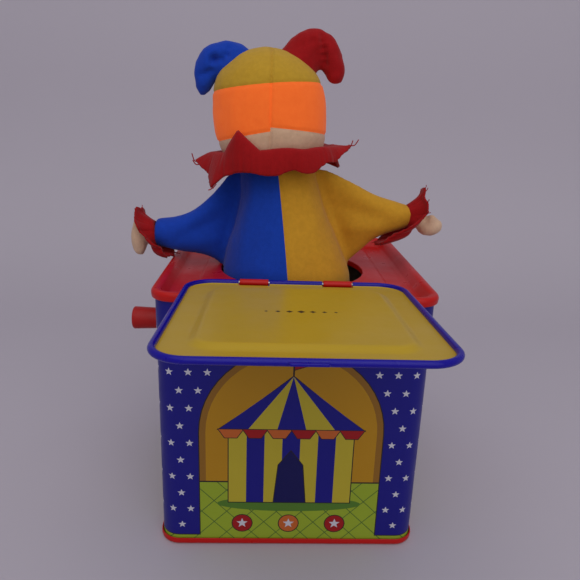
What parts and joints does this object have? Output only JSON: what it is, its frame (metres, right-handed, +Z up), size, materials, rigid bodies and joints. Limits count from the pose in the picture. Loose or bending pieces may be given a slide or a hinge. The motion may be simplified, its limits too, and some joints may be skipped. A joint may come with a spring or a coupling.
{
  "type": "jack in the box",
  "caption": "Square lithographed tin with a hinged lid, a side crank that turns a music movement and trips a latch, and a felt clown on a coil spring, shown popped up.",
  "frame": {"origin": "middle of the tin's underside, on the surface that it stands on", "axes": "+Z up, -Y the way the clown faces, +X the crank side, +Y the lid's hinge side"},
  "size_m": [0.1735, 0.2219, 0.2595],
  "materials": {
    "blue_tin": "glossy lithographed tinplate",
    "red_tin": "glossy enamelled tinplate",
    "yellow_tin": "glossy enamelled tinplate",
    "steel": "plain steel",
    "brass": "plain brass",
    "red_plastic": "moulded, satin gloss",
    "white_plastic": "moulded, matte",
    "blue_felt": "brushed felt",
    "yellow_felt": "brushed felt",
    "red_felt": "brushed felt with frayed cut edges",
    "orange_felt": "thick pile felt",
    "skin_felt": "smooth felt",
    "black_felt": "stitched felt"
  },
  "bodies": {
    "case": {"box_shell": "blue_tin", "base_plate": "red_tin", "top_plate": "red_tin", "hinge_wire": "steel", "crank_bush": "red_plastic", "movement_frame": "steel", "frame_screw_1": "steel", "frame_screw_2": "steel", "frame_screw_3": "steel", "frame_screw_4": "steel", "music_comb": "steel", "comb_screw_1": "brass", "comb_screw_2": "brass", "lever_pin": "brass", "latch_bracket_1": "steel", "latch_bracket_2": "steel", "latch_spring": "steel", "spring_seat": "steel", "seat_rivet_1": "brass", "seat_rivet_2": "brass", "seat_rivet_3": "brass", "jack_spring": "steel", "costume_blue": "blue_felt", "costume_yellow": "yellow_felt"},
    "jack": {"neck_disc": "white_plastic", "head_skin": "skin_felt", "hair_band": "orange_felt", "hat_crown": "yellow_felt", "hat_horn_blue": "blue_felt", "hat_horn_red": "red_felt", "nose": "red_felt", "eye_left": "black_felt", "eye_right": "black_felt", "mouth": "red_felt", "collar": "red_felt", "sleeve_blue": "blue_felt", "sleeve_yellow": "yellow_felt", "cuff_left": "red_felt", "cuff_right": "red_felt", "hand_left": "skin_felt", "hand_right": "skin_felt", "chest_pompom_1": "red_felt", "chest_pompom_2": "red_felt"},
    "lid": {"lid": "yellow_tin"},
    "crank": {"crank_shaft": "steel", "crank_arm": "steel", "crank_pinion": "white_plastic", "knob_pin": "steel"},
    "knob": {"crank_knob": "red_plastic"},
    "drum": {"drum_gear": "white_plastic", "drum_shaft": "steel", "music_drum": "brass", "release_cam": "white_plastic"},
    "lever": {"release_lever": "steel"},
    "latch": {"lid_latch": "steel"}
  },
  "joints": [
    {"name": "jack_pop", "type": "slide", "parent": "case", "child": "jack", "axis": [0.1074, 0, 0.9942], "range_m": [-0.1255, 0], "stiffness_N_per_m": 40, "springref_m": 0.02, "deforming": ["jack_spring", "costume_blue", "costume_yellow", "sleeve_blue", "sleeve_yellow", "cuff_left", "cuff_right", "hand_left", "hand_right", "collar", "hat_horn_blue", "hat_horn_red"]},
    {"name": "lid_swing", "type": "hinge", "parent": "case", "child": "lid", "pos_m": [0, 0.05065, 0.1388], "axis": [1, 0, 0], "range_deg": [0, 177.2]},
    {"name": "crank_spin", "type": "hinge", "parent": "case", "child": "crank", "pos_m": [0.07, 0, 0.072], "axis": [1, 0, 0], "continuous": true},
    {"name": "knob_spin", "type": "hinge", "parent": "crank", "child": "knob", "pos_m": [0.082, 0, 0.101], "axis": [1, 0, 0], "continuous": true},
    {"name": "drum_spin", "type": "hinge", "parent": "case", "child": "drum", "pos_m": [0.054, -0.021, 0.072], "axis": [1, 0, 0], "continuous": true},
    {"name": "latch_swing", "type": "hinge", "parent": "case", "child": "latch", "pos_m": [0, -0.0582, 0.112], "axis": [1, 0, 0], "range_deg": [-6, 0]},
    {"name": "lever_swing", "type": "hinge", "parent": "case", "child": "lever", "pos_m": [0.048, -0.038, 0.106], "axis": [1, 0, 0], "range_deg": [0, 3.7]}
  ],
  "couplings": [
    {"joint": "lid_swing", "follows": "jack_pop", "rad_per_m": -24.643},
    {"joint": "drum_spin", "follows": "crank_spin", "ratio": -0.4},
    {"joint": "lever_swing", "follows": "latch_swing", "ratio": -0.6166}
  ]
}
